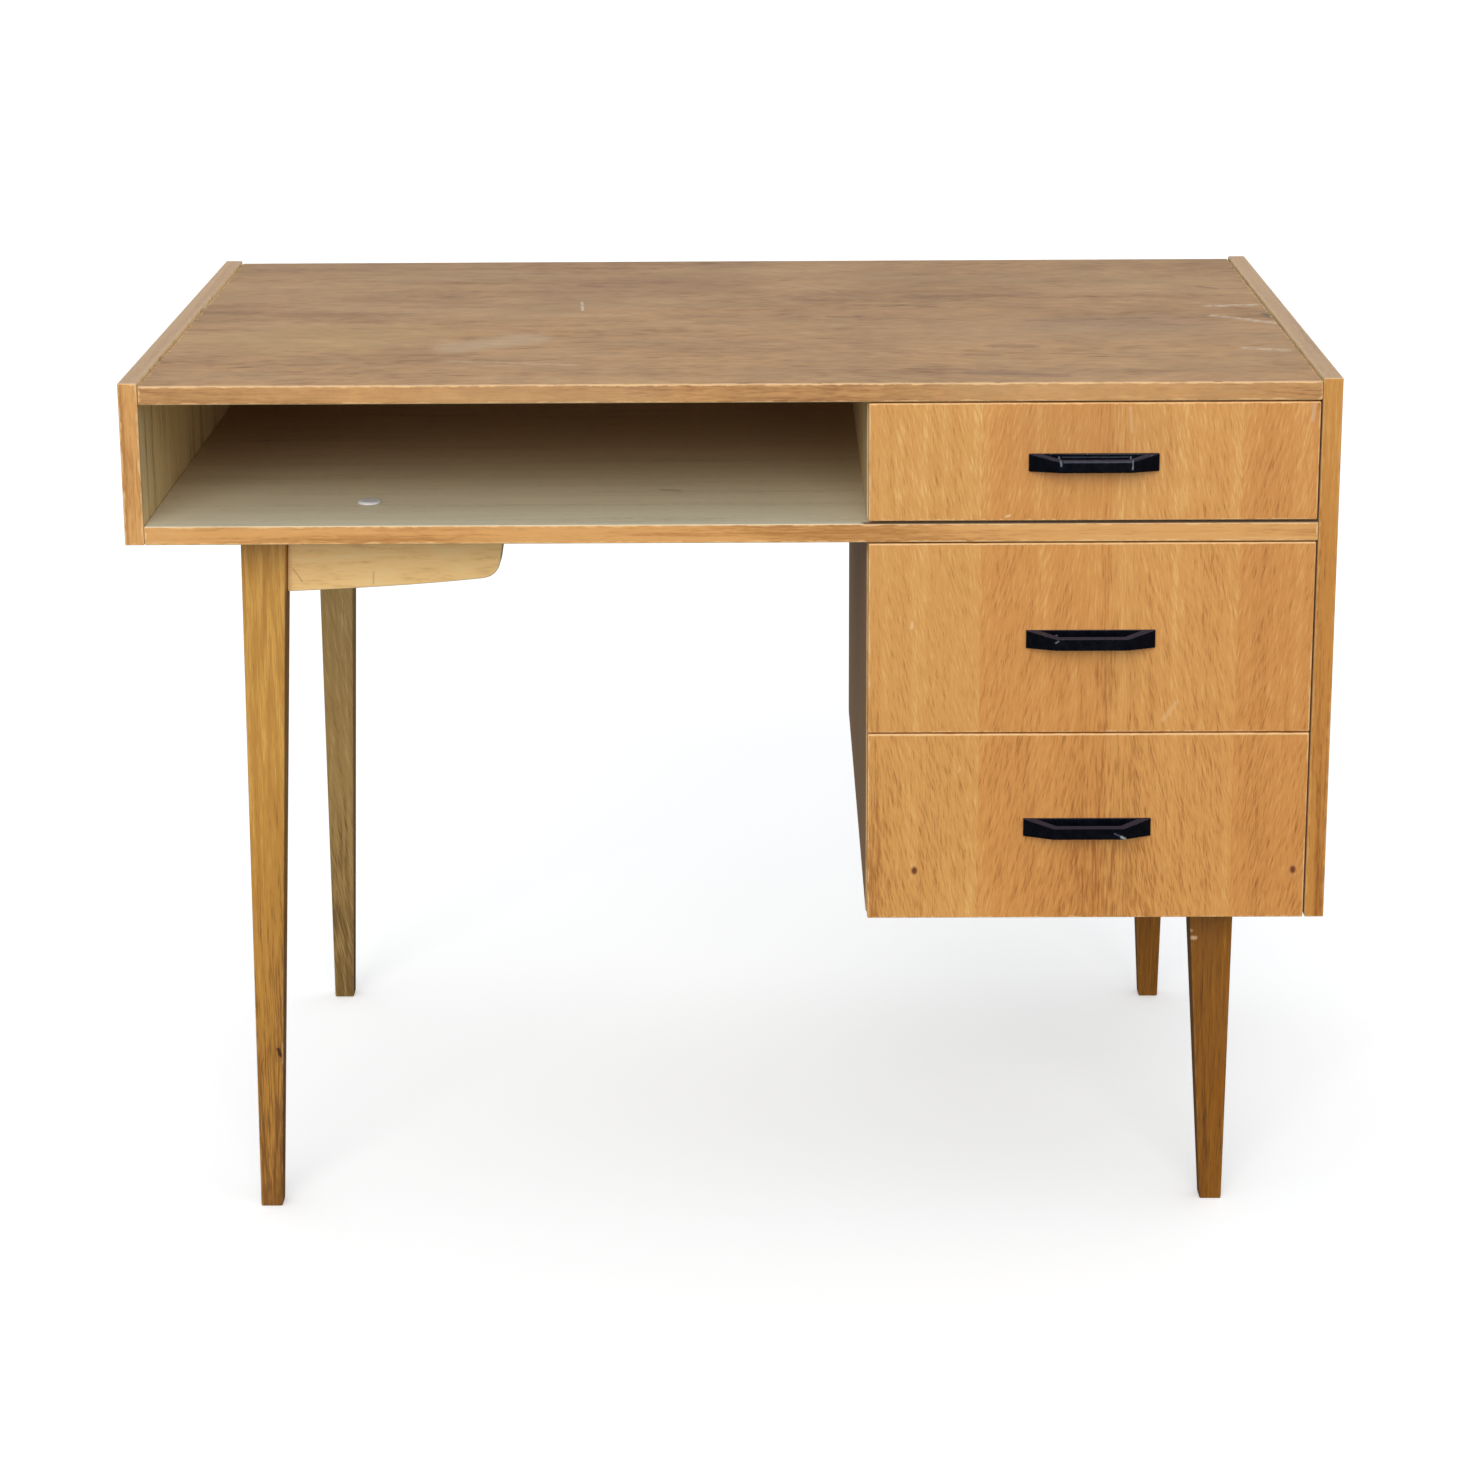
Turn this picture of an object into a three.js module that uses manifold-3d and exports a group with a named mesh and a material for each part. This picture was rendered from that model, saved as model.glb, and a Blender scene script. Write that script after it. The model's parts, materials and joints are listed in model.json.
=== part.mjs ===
// Writing desk: an open shelf box on two long splayed legs at the left, and a three-drawer
// pedestal on two short legs at the right. Oak-veneered boards, solid tapered legs, bow handles.
// Millimetres, +Z up, +X to the sitter's right, the drawers open towards -Y.
// The origin is on the floor, under the centre of the whole desk's box.

import * as THREE from 'three';
import { mergeVertices } from 'three/addons/utils/BufferGeometryUtils.js';
import Module from 'manifold-3d';

const wasm = await Module();
wasm.setup();

// ---------- driving dimensions ----------
const WIDTH = 1000;
const DEPTH = 600;
const HEIGHT = 750;
const BOARD = 16;
const GAP = 0.3;                    // left between glued or touching pieces
const TOP_DROP = 2.5;               // the desk top lies this far below the side panels' tops
const SHELF_BOX_HEIGHT = 136.5;      // left side panel
const PEDESTAL_HEIGHT = 465;        // right side panel
const PEDESTAL_LEFT = 613;          // from the desk's left side to the pedestal's outer face
const BACK_THICKNESS = 4;
const BACK_INSET = 8;               // from the rear edges to the thin back panels

const FRONT_LAP = 0.5;              // behind a drawer front, before the boards that it covers
const FRONT_SIDE_GAP = 1.5;         // between the drawer fronts and the right side panel
const FRONT_GAP = 1.1;              // above each drawer front
const SHELF_FRONT_GAP = 2;          // between the top drawer's front and the board under it
const FRONT_OVERHANG = 1;           // the fronts start this far inside the pedestal's outer face

const BOX_CLEARANCE = 3;            // each side, between a drawer box and the pedestal
const BOX_WALL = 12;
const BOX_DEPTH = 480;
const BOX_BOTTOM = 4;
const BOTTOM_GROOVE = 6;            // depth of the groove that holds a drawer's bottom
const BOTTOM_RISE = 8;              // from the sides' lower edges up to that groove
const RUNNER_HEIGHT = 10;
const RUNNER_LENGTH = 560;
const RUNNER_GROOVE = 6.5;          // depth of the groove in a drawer side
const RUNNER_SLACK = 0.5;           // between a runner and the bottom of its groove

const HANDLE_WIDTH = 107;
const HANDLE_HEIGHT = 15;           // at the drawer front
const HANDLE_BAR_HEIGHT = 9.5;      // at the grip
const HANDLE_BAR_WIDTH = 59;
const HANDLE_REACH = 21;
const HANDLE_PLATE = 2.5;
const HANDLE_BAR = 5.5;             // thickness of the grip, front to back
const HANDLE_ARM = 11;              // width of each arm where it leaves the plate
const SCREW_SPACING = 96;
const SCREW_RADIUS = 2;
const SCREW_HEAD_RADIUS = 4;
const SCREW_HEAD_HEIGHT = 2.5;
const SCREW_BITE = 4;               // how far a screw reaches into the handle
const SCREW_CLEARANCE = 0.4;

const LEG_TOP = { x: 38.5, y: 33 };
const LEG_FOOT = { x: 19, y: 18 };
const slope = (degrees) => Math.tan(THREE.MathUtils.degToRad(degrees));
const LEG_SPLAY = { front: slope(1.35), rear: slope(1.05) };      // sideways
const LEG_LEAN = { front: slope(2), rear: slope(0.6) };           // forwards or backwards
const FEET_FROM_LEFT = { front: 91.2, rear: 97.7 };     // centres of the feet
const FEET_FROM_RIGHT = { front: 80.5, rear: 83.5 };
const LEG_TOPS_FROM_FRONT = 76;                         // centres of the tops
const LEG_TOPS_FROM_REAR = 56;

const BRACE_LENGTH = 185;
const BRACE_THICKNESS = 24;
const BRACE_SETBACK = 10;           // behind the leg's outer face
const BRACE_DEPTH = 58.5;           // at the leg
const BRACE_TAPER = 10.5;           // how much shallower the brace is before its far corner
const BRACE_LEAN = 6;               // how far the far end slopes back at that corner
const BRACE_CORNER = 17;            // size of the rounded far corner
const BRACE_BOLT_FROM_LEG = 69;

const BOLT_RADIUS = 3;
const BOLT_LENGTH = 54;
const BOLT_HEAD_RADIUS = 6.5;
const BOLT_HEAD_HEIGHT = 4;
const CAP_RADIUS = 10;
const CAP_HEIGHT = 2.2;

const PLATE_SIZE = 62;
const PLATE_CORNER = 6;
const PLATE_THICKNESS = 2.5;
const PEDESTAL_BOTTOM_RISE = 3;     // above the pedestal's lower edges
const HANGER_RADIUS = 4;
const HANGER_IN_LEG = 30;
const HANGER_ABOVE_PLATE = 13;

const ROUND_SIDES = 24;

// ---------- heights and lines that follow from them ----------
const FRONT = (HANDLE_REACH + GAP - DEPTH) / 2;       // Y of the carcass' front edges
const LEFT = -WIDTH / 2;
const RIGHT = WIDTH / 2;
const topUpper = HEIGHT - TOP_DROP;
const topLower = topUpper - BOARD;
const shelfLower = HEIGHT - SHELF_BOX_HEIGHT;
const shelfUpper = shelfLower + BOARD;
const pedestalLower = HEIGHT - PEDESTAL_HEIGHT;
const pedestalFloorLower = pedestalLower + PEDESTAL_BOTTOM_RISE;
const pedestalFloorUpper = pedestalFloorLower + BOARD;
const pedestalOuter = LEFT + PEDESTAL_LEFT;
const pedestalInner = pedestalOuter + BOARD;
const rightInner = RIGHT - BOARD;
const coveredFront = BOARD + FRONT_LAP;               // depth where the covered boards start
const backFace = DEPTH - BACK_INSET - BACK_THICKNESS; // depth of the back panels' inner faces

// ---------- finishes ----------
const finish = (color, roughness, metalness = 0) => ({ color, roughness, metalness });
const FINISHES = {
  fadedOak: finish(0xa08469, 0.6),
  oakVeneer: finish(0xc8965a, 0.5),
  paleLining: finish(0xb4a582, 0.65),
  solidOak: finish(0xaa7d3c, 0.5),
  paleBeech: finish(0xd7af6e, 0.55),
  plywood: finish(0xb08a5c, 0.7),
  blackLacquer: finish(0x0c0d12, 0.25),
  steel: finish(0x9a9b9d, 0.35, 0.9),
  whiteCap: finish(0xe6e6e4, 0.4),
};

const desk = new THREE.Group();

function addPiece(name, geometry, finishName, parent = desk) {
  const piece = new THREE.Mesh(geometry, new THREE.MeshStandardMaterial(FINISHES[finishName]));
  piece.name = name;
  parent.add(piece);
  return piece;
}

// A box given by its ranges: x and z in the parent's frame, y counted back from the front edges.
function boxGeometry([x0, x1], [depth0, depth1], [z0, z1]) {
  const geometry = new THREE.BoxGeometry(x1 - x0, depth1 - depth0, z1 - z0);
  return geometry.translate((x0 + x1) / 2, FRONT + (depth0 + depth1) / 2, (z0 + z1) / 2);
}

function addBoard(name, x, depth, z, finishName, parent = desk) {
  return addPiece(name, boxGeometry(x, depth, z), finishName, parent);
}

// An outline in X and Z, drawn out from depth0 to depth1.
function extrudeBack(shape, depth0, depth1) {
  const options = { depth: depth1 - depth0, bevelEnabled: false, curveSegments: ROUND_SIDES / 2 };
  return new THREE.ExtrudeGeometry(shape, options).rotateX(Math.PI / 2).translate(0, FRONT + depth1, 0);
}

function outline(points) {
  return new THREE.Shape(points.map(([x, y]) => new THREE.Vector2(x, y)));
}

// ---------- booleans ----------
function toSolid(geometry) {
  const bare = geometry.clone();
  bare.deleteAttribute('normal');
  bare.deleteAttribute('uv');
  const merged = mergeVertices(bare, 1e-4);
  return new wasm.Manifold(new wasm.Mesh({
    numProp: 3,
    vertProperties: new Float32Array(merged.attributes.position.array),
    triVerts: new Uint32Array(merged.index.array),
  }));
}

function toGeometry(solid) {
  const mesh = solid.getMesh();
  const geometry = new THREE.BufferGeometry();
  geometry.setAttribute('position', new THREE.BufferAttribute(new Float32Array(mesh.vertProperties), 3));
  geometry.setIndex(new THREE.BufferAttribute(new Uint32Array(mesh.triVerts), 1));
  geometry.computeVertexNormals();
  return geometry;
}

function cutAway(geometry, cutters) {
  const solid = cutters.reduce((rest, cutter) => rest.subtract(toSolid(cutter)), toSolid(geometry));
  return toGeometry(solid);
}

// A cylinder standing on z0.
function uprightCylinder(radius, z0, z1, x = 0, y = 0) {
  const cylinder = new THREE.CylinderGeometry(radius, radius, z1 - z0, ROUND_SIDES);
  return cylinder.rotateX(Math.PI / 2).translate(x, y, (z0 + z1) / 2);
}

// A turned piece whose axis is +Z, from [radius, height] points that start and end on the axis.
function turned(points) {
  const profile = points.map(([radius, height]) => new THREE.Vector2(radius, height));
  return new THREE.LatheGeometry(profile, ROUND_SIDES).rotateX(Math.PI / 2);
}

// ---------- carcass ----------
function buildCarcass() {
  const between = [LEFT + BOARD + GAP, rightInner - GAP];
  const full = [0, DEPTH];
  addBoard('left_side_panel', [LEFT, LEFT + BOARD], full, [shelfLower, HEIGHT], 'oakVeneer');
  addBoard('right_side_panel', [rightInner, RIGHT], full, [pedestalLower, HEIGHT], 'oakVeneer');
  addBoard('desk_top', between, full, [topLower, topUpper], 'fadedOak');
  addBoard('divider_panel', [pedestalOuter, pedestalInner], [coveredFront, backFace - GAP],
    [shelfUpper + GAP, topLower - GAP], 'paleLining');
  addBoard('pedestal_left_panel', [pedestalOuter, pedestalInner], [coveredFront, DEPTH],
    [pedestalLower, shelfLower - GAP], 'oakVeneer');
  addPiece('pedestal_bottom_panel', pedestalFloorGeometry(), 'oakVeneer');
  addBoard('upper_back_panel', between, [backFace, backFace + BACK_THICKNESS],
    [shelfUpper + GAP, topLower - GAP], 'plywood');
  addBoard('pedestal_back_panel', [pedestalInner + GAP, rightInner - GAP],
    [backFace, backFace + BACK_THICKNESS], [pedestalFloorUpper + GAP, shelfLower - GAP], 'plywood');
  addPiece('mid_board', midBoardGeometry(between, full), 'oakVeneer');
}

// The pedestal's floor, with a hole over each hanger bolt.
function pedestalFloorGeometry() {
  const floor = boxGeometry([pedestalInner + GAP, rightInner - GAP], [coveredFront, DEPTH],
    [pedestalFloorLower, pedestalFloorUpper]);
  const holes = rightLegs.map(({ top }) => uprightCylinder(HANGER_RADIUS + SCREW_CLEARANCE,
    pedestalFloorLower - 1, pedestalFloorUpper + 1, top.x, top.y));
  return cutAway(floor, holes);
}

// The board through the whole width, with a counterbored hole over each brace bolt.
function midBoardGeometry(x, depth) {
  const board = boxGeometry(x, depth, [shelfLower, shelfUpper]);
  const cutters = leftLegs.flatMap(({ boltX, boltY }) => [
    uprightCylinder(BOLT_RADIUS + SCREW_CLEARANCE, shelfLower - 1, shelfUpper + 1, boltX, boltY),
    uprightCylinder(BOLT_HEAD_RADIUS + SCREW_CLEARANCE, shelfUpper - BOLT_HEAD_HEIGHT - GAP,
      shelfUpper + 1, boltX, boltY),
  ]);
  return cutAway(board, cutters);
}

// ---------- legs ----------
// Each leg's foot and top centres. The legs splay outwards: each top stands further in.
function legPlace(end, side, footX, topY, length) {
  const outward = Math.sign(topY);
  const foot = new THREE.Vector2(footX, topY + outward * LEG_LEAN[end] * length);
  const top = new THREE.Vector2(footX - Math.sign(footX) * LEG_SPLAY[end] * length, topY);
  return { name: `${end}_${side}`, foot, top, length, outward };
}

function braceBolt(leg) {
  const legFace = leg.top.y + leg.outward * LEG_TOP.y / 2;
  const centreY = legFace - leg.outward * (BRACE_SETBACK + BRACE_THICKNESS / 2);
  return { ...leg, boltX: leg.top.x + LEG_TOP.x / 2 + BRACE_BOLT_FROM_LEG, boltY: centreY };
}

const longLeg = shelfLower - GAP;
const shortLeg = pedestalFloorLower - PLATE_THICKNESS - 2 * GAP;
const frontTops = FRONT + LEG_TOPS_FROM_FRONT;
const rearTops = FRONT + DEPTH - LEG_TOPS_FROM_REAR;
const leftLegs = [
  legPlace('front', 'left', LEFT + FEET_FROM_LEFT.front, frontTops, longLeg),
  legPlace('rear', 'left', LEFT + FEET_FROM_LEFT.rear, rearTops, longLeg),
].map(braceBolt);
const rightLegs = [
  legPlace('front', 'right', RIGHT - FEET_FROM_RIGHT.front, frontTops, shortLeg),
  legPlace('rear', 'right', RIGHT - FEET_FROM_RIGHT.rear, rearTops, shortLeg),
];

// A square tapered leg: a box narrowed and shifted level by level, cut level at both ends.
function legGeometry({ foot, top, length }) {
  const geometry = new THREE.BoxGeometry(1, 1, length).translate(0, 0, length / 2);
  const position = geometry.attributes.position;
  for (let i = 0; i < position.count; i += 1) {
    const t = position.getZ(i) / length;
    const width = THREE.MathUtils.lerp(LEG_FOOT.x, LEG_TOP.x, t);
    const thickness = THREE.MathUtils.lerp(LEG_FOOT.y, LEG_TOP.y, t);
    const centreX = THREE.MathUtils.lerp(foot.x, top.x, t);
    const centreY = THREE.MathUtils.lerp(foot.y, top.y, t);
    position.setX(i, centreX + position.getX(i) * width);
    position.setY(i, centreY + position.getY(i) * thickness);
  }
  geometry.computeVertexNormals();
  return geometry;
}

// X of a leg's inner side, which the brace is fitted against.
function legInnerSide({ foot, top, length }, z) {
  const t = z / length;
  const half = THREE.MathUtils.lerp(LEG_FOOT.x, LEG_TOP.x, t) / 2;
  return THREE.MathUtils.lerp(foot.x, top.x, t) + half;
}

// A bracket under the shelf: deepest at the leg, gently tapered, its far lower corner rounded.
function braceGeometry(leg) {
  const upper = shelfLower - GAP;
  const lower = shelfLower - BRACE_DEPTH;
  const cornerLower = lower + BRACE_TAPER;
  const farX = leg.top.x + LEG_TOP.x / 2 + BRACE_LENGTH;
  const cornerX = farX - BRACE_LEAN;
  const shape = new THREE.Shape();
  shape.moveTo(legInnerSide(leg, upper) + GAP, upper);
  shape.lineTo(legInnerSide(leg, lower) + GAP, lower);
  shape.quadraticCurveTo(farX - BRACE_LENGTH / 2, lower + BRACE_TAPER / 3,
    cornerX - BRACE_CORNER, cornerLower);
  shape.quadraticCurveTo(cornerX - 1, cornerLower + 1, cornerX + 1, cornerLower + BRACE_CORNER);
  shape.lineTo(farX, upper);
  const centreDepth = leg.boltY - FRONT;
  const body = extrudeBack(shape, centreDepth - BRACE_THICKNESS / 2, centreDepth + BRACE_THICKNESS / 2);
  const hole = uprightCylinder(BOLT_RADIUS + SCREW_CLEARANCE, shelfUpper - BOLT_LENGTH - 1, upper + 1,
    leg.boltX, leg.boltY);
  return cutAway(body, [hole]);
}

function boltGeometry() {
  const shankTop = BOLT_LENGTH - BOLT_HEAD_HEIGHT;
  return turned([
    [0, 0],
    [BOLT_RADIUS * 0.6, 0],
    [BOLT_RADIUS, BOLT_RADIUS],
    [BOLT_RADIUS, shankTop],
    [BOLT_HEAD_RADIUS, shankTop],
    [BOLT_HEAD_RADIUS, BOLT_LENGTH],
    [0, BOLT_LENGTH],
  ]);
}

function capGeometry() {
  return turned([
    [0, 0],
    [CAP_RADIUS, 0],
    [CAP_RADIUS, CAP_HEIGHT * 0.4],
    [CAP_RADIUS * 0.86, CAP_HEIGHT * 0.85],
    [CAP_RADIUS * 0.5, CAP_HEIGHT],
    [0, CAP_HEIGHT],
  ]);
}

function buildLeftLegs() {
  for (const leg of leftLegs) {
    addPiece(`${leg.name}_leg`, legGeometry(leg), 'solidOak');
    addPiece(`${leg.name}_brace`, braceGeometry(leg), 'paleBeech');
    const bolt = addPiece(`${leg.name}_brace_bolt`, boltGeometry(), 'steel');
    bolt.position.set(leg.boltX, leg.boltY, shelfUpper - BOLT_LENGTH);
    const cap = addPiece(`${leg.name}_bolt_cap`, capGeometry(), 'whiteCap');
    cap.position.set(leg.boltX, leg.boltY, shelfUpper + GAP);
  }
}

// A rounded steel plate with one hole, for the hanger bolt in the leg's end.
function plateGeometry() {
  const half = PLATE_SIZE / 2;
  const corner = PLATE_CORNER;
  const shape = new THREE.Shape();
  shape.moveTo(-half + corner, -half);
  shape.lineTo(half - corner, -half);
  shape.absarc(half - corner, -half + corner, corner, -Math.PI / 2, 0);
  shape.lineTo(half, half - corner);
  shape.absarc(half - corner, half - corner, corner, 0, Math.PI / 2);
  shape.lineTo(-half + corner, half);
  shape.absarc(-half + corner, half - corner, corner, Math.PI / 2, Math.PI);
  shape.lineTo(-half, -half + corner);
  shape.absarc(-half + corner, -half + corner, corner, Math.PI, Math.PI * 1.5);
  const hole = new THREE.Path();
  hole.absarc(0, 0, HANGER_RADIUS + SCREW_CLEARANCE, 0, Math.PI * 2, true);
  shape.holes.push(hole);
  const options = { depth: PLATE_THICKNESS, bevelEnabled: false, curveSegments: ROUND_SIDES / 4 };
  return new THREE.ExtrudeGeometry(shape, options);
}

function buildRightLegs() {
  const plateLower = pedestalFloorLower - GAP - PLATE_THICKNESS;
  const boltLower = shortLeg - HANGER_IN_LEG;
  const boltUpper = plateLower + PLATE_THICKNESS + HANGER_ABOVE_PLATE;
  for (const leg of rightLegs) {
    const hole = uprightCylinder(HANGER_RADIUS + SCREW_CLEARANCE, boltLower - 1, shortLeg + 1,
      leg.top.x, leg.top.y);
    addPiece(`${leg.name}_leg`, cutAway(legGeometry(leg), [hole]), 'solidOak');
    const plate = addPiece(`${leg.name}_leg_plate`, plateGeometry(), 'steel');
    plate.position.set(leg.top.x, leg.top.y, plateLower);
    const hanger = uprightCylinder(HANGER_RADIUS, boltLower, boltUpper);
    addPiece(`${leg.name}_hanger_bolt`, hanger, 'steel').position.set(leg.top.x, leg.top.y, 0);
  }
}

// ---------- drawers ----------
const boxLeft = pedestalInner + BOX_CLEARANCE;
const boxRight = rightInner - BOX_CLEARANCE;
const frontLeft = pedestalOuter + FRONT_OVERHANG;
const frontRight = rightInner - FRONT_SIDE_GAP;
const frontCentre = (frontLeft + frontRight) / 2;
const boxStart = BOARD + GAP;                          // depth where the drawer boxes start
const boxEnd = boxStart + BOX_DEPTH;
const lowerBankUpper = shelfLower - FRONT_GAP;
const lowerFrontHeight = (lowerBankUpper - pedestalLower - FRONT_GAP) / 2;

// lower and upper are the front's edges. rise counts from the front's lower edge up to the box,
// wall is the height of the box's sides, and runner counts from the box up to its groove.
const drawers = [
  {
    name: 'top',
    lower: shelfUpper + SHELF_FRONT_GAP,
    upper: topLower - FRONT_GAP,
    rise: 8,
    wall: 74,
    runner: 32,
  },
  {
    name: 'middle',
    lower: lowerBankUpper - lowerFrontHeight,
    upper: lowerBankUpper,
    rise: 14,
    wall: 124,
    runner: 54,
  },
  {
    name: 'bottom',
    lower: pedestalLower,
    upper: pedestalLower + lowerFrontHeight,
    rise: 23,
    wall: 124,
    runner: 54,
  },
];

function frontGeometry({ lower, upper }) {
  const shape = outline([[frontLeft, lower], [frontRight, lower], [frontRight, upper], [frontLeft, upper]]);
  const middle = (lower + upper) / 2;
  for (const side of [-1, 1]) {
    const hole = new THREE.Path();
    const x = frontCentre + side * SCREW_SPACING / 2;
    hole.absarc(x, middle, SCREW_RADIUS + SCREW_CLEARANCE, 0, Math.PI * 2, true);
    shape.holes.push(hole);
  }
  return extrudeBack(shape, 0, BOARD);
}

// One side of a drawer box: a groove outside for the runner and a groove inside for the bottom.
// inward is +1 for the left side and -1 for the right side.
function sideGeometry({ lower, rise, wall, runner }, outerX, inward) {
  const bottom = lower + rise;
  const runnerLower = bottom + runner;
  const runnerUpper = runnerLower + RUNNER_HEIGHT + 2 * RUNNER_SLACK;
  const panelLower = bottom + BOTTOM_RISE;
  const panelUpper = panelLower + BOX_BOTTOM + 2 * GAP;
  const points = [
    [0, bottom],
    [BOX_WALL, bottom],
    [BOX_WALL, panelLower],
    [BOX_WALL - BOTTOM_GROOVE, panelLower],
    [BOX_WALL - BOTTOM_GROOVE, panelUpper],
    [BOX_WALL, panelUpper],
    [BOX_WALL, bottom + wall],
    [0, bottom + wall],
    [0, runnerUpper],
    [RUNNER_GROOVE, runnerUpper],
    [RUNNER_GROOVE, runnerLower],
    [0, runnerLower],
  ];
  return extrudeBack(outline(points.map(([x, z]) => [outerX + inward * x, z])), boxStart, boxEnd);
}

// The handle in plan is a thin plate with a bow that slants out to a straight grip. Seen from the
// side it narrows from the plate to the grip.
function handleGeometry() {
  const half = HANDLE_WIDTH / 2;
  const grip = HANDLE_BAR_WIDTH / 2;
  const plan = outline([[-half, 0], [-half, -HANDLE_PLATE], [-grip, -HANDLE_REACH],
    [grip, -HANDLE_REACH], [half, -HANDLE_PLATE], [half, 0]]);
  const hollow = half - HANDLE_ARM;
  const inner = grip - HANDLE_BAR / 2;
  const innerReach = HANDLE_REACH - HANDLE_BAR;
  plan.holes.push(new THREE.Path([[-hollow, -HANDLE_PLATE], [hollow, -HANDLE_PLATE],
    [inner, -innerReach], [-inner, -innerReach]].map(([x, y]) => new THREE.Vector2(x, y))));
  const planSolid = new THREE.ExtrudeGeometry(plan, { depth: HANDLE_HEIGHT, bevelEnabled: false })
    .translate(0, 0, -HANDLE_HEIGHT / 2);
  const tall = HANDLE_HEIGHT / 2;
  const low = HANDLE_BAR_HEIGHT / 2;
  const profile = outline([[0, -tall], [0, tall], [-HANDLE_PLATE, tall], [-HANDLE_REACH, low],
    [-HANDLE_REACH, -low], [-HANDLE_PLATE, -tall]]);
  const profileSolid = new THREE.ExtrudeGeometry(profile, { depth: HANDLE_WIDTH + 2, bevelEnabled: false })
    .rotateX(Math.PI / 2).rotateZ(Math.PI / 2).translate(-half - 1, 0, 0);
  const pilots = [-1, 1].map((side) => new THREE.CylinderGeometry(SCREW_RADIUS + SCREW_CLEARANCE,
    SCREW_RADIUS + SCREW_CLEARANCE, 2 * (SCREW_BITE + GAP), ROUND_SIDES / 2)
    .translate(side * SCREW_SPACING / 2, 0, 0));
  const bow = toSolid(planSolid).intersect(toSolid(profileSolid));
  return toGeometry(pilots.reduce((rest, pilot) => rest.subtract(toSolid(pilot)), bow));
}

// A round-headed screw along -Y, its head behind the drawer front.
function handleScrewGeometry() {
  const length = BOARD + GAP + SCREW_BITE;
  return turned([
    [0, 0],
    [SCREW_RADIUS, 0],
    [SCREW_RADIUS, length],
    [SCREW_HEAD_RADIUS, length],
    [SCREW_HEAD_RADIUS, length + SCREW_HEAD_HEIGHT * 0.4],
    [SCREW_HEAD_RADIUS * 0.7, length + SCREW_HEAD_HEIGHT],
    [0, length + SCREW_HEAD_HEIGHT],
  ]).rotateX(-Math.PI / 2);
}

function buildDrawer(drawer) {
  const { name, lower, upper, rise, wall } = drawer;
  const group = new THREE.Group();
  desk.add(group);
  const bottom = lower + rise;
  const panelLower = bottom + BOTTOM_RISE + GAP;
  const panelUpper = panelLower + BOX_BOTTOM;
  const innerLeft = boxLeft + BOX_WALL;
  const innerRight = boxRight - BOX_WALL;
  const tongue = BOTTOM_GROOVE - RUNNER_SLACK;
  addPiece(`${name}_drawer_front`, frontGeometry(drawer), 'oakVeneer', group);
  addPiece(`${name}_drawer_left_side`, sideGeometry(drawer, boxLeft, 1), 'paleBeech', group);
  addPiece(`${name}_drawer_right_side`, sideGeometry(drawer, boxRight, -1), 'paleBeech', group);
  addBoard(`${name}_drawer_back`, [innerLeft + GAP, innerRight - GAP], [boxEnd - BOX_WALL, boxEnd],
    [panelUpper + GAP, bottom + wall], 'paleBeech', group);
  addBoard(`${name}_drawer_bottom`, [innerLeft - tongue, innerRight + tongue], [boxStart, boxEnd],
    [panelLower, panelUpper], 'plywood', group);
  const middle = (lower + upper) / 2;
  const handle = addPiece(`${name}_drawer_handle`, handleGeometry(), 'blackLacquer', group);
  handle.position.set(frontCentre, FRONT - GAP, middle);
  for (const [side, sign] of [['left', -1], ['right', 1]]) {
    const screw = addPiece(`${name}_handle_screw_${side}`, handleScrewGeometry(), 'steel', group);
    screw.position.set(frontCentre + sign * SCREW_SPACING / 2, FRONT - SCREW_BITE, middle);
  }
}

// A batten on each wall of the pedestal. The drawer sides are grooved to ride on it.
function buildRunners({ name, lower, rise, runner }) {
  const z0 = lower + rise + runner + RUNNER_SLACK;
  const reach = BOX_CLEARANCE + RUNNER_GROOVE - RUNNER_SLACK;
  const depth = [BOARD + 2 * FRONT_LAP, BOARD + 2 * FRONT_LAP + RUNNER_LENGTH];
  const z = [z0, z0 + RUNNER_HEIGHT];
  addBoard(`${name}_left_runner`, [pedestalInner + GAP, pedestalInner + reach], depth, z, 'paleBeech');
  addBoard(`${name}_right_runner`, [rightInner - reach, rightInner - GAP], depth, z, 'paleBeech');
}

buildCarcass();
buildLeftLegs();
buildRightLegs();
drawers.forEach(buildRunners);
drawers.forEach(buildDrawer);

export default desk;
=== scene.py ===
import json
import math

import bmesh
import bpy
from mathutils import Matrix, Vector


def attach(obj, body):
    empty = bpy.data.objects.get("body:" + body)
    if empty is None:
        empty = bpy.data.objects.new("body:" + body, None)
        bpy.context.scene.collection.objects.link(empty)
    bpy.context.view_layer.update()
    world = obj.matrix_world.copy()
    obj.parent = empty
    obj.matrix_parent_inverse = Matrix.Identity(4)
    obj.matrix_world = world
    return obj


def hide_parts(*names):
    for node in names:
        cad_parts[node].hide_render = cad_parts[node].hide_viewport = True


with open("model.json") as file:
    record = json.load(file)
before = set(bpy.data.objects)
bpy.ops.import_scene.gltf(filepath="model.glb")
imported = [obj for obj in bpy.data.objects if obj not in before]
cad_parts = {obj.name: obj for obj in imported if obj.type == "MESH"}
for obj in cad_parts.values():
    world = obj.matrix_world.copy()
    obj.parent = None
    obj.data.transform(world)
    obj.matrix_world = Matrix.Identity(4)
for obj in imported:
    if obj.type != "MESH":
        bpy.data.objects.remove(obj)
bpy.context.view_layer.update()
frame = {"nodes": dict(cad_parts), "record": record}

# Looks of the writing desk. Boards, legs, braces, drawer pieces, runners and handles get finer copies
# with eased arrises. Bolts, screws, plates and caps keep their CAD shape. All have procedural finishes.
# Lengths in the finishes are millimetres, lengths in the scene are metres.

MM = 0.001

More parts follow.
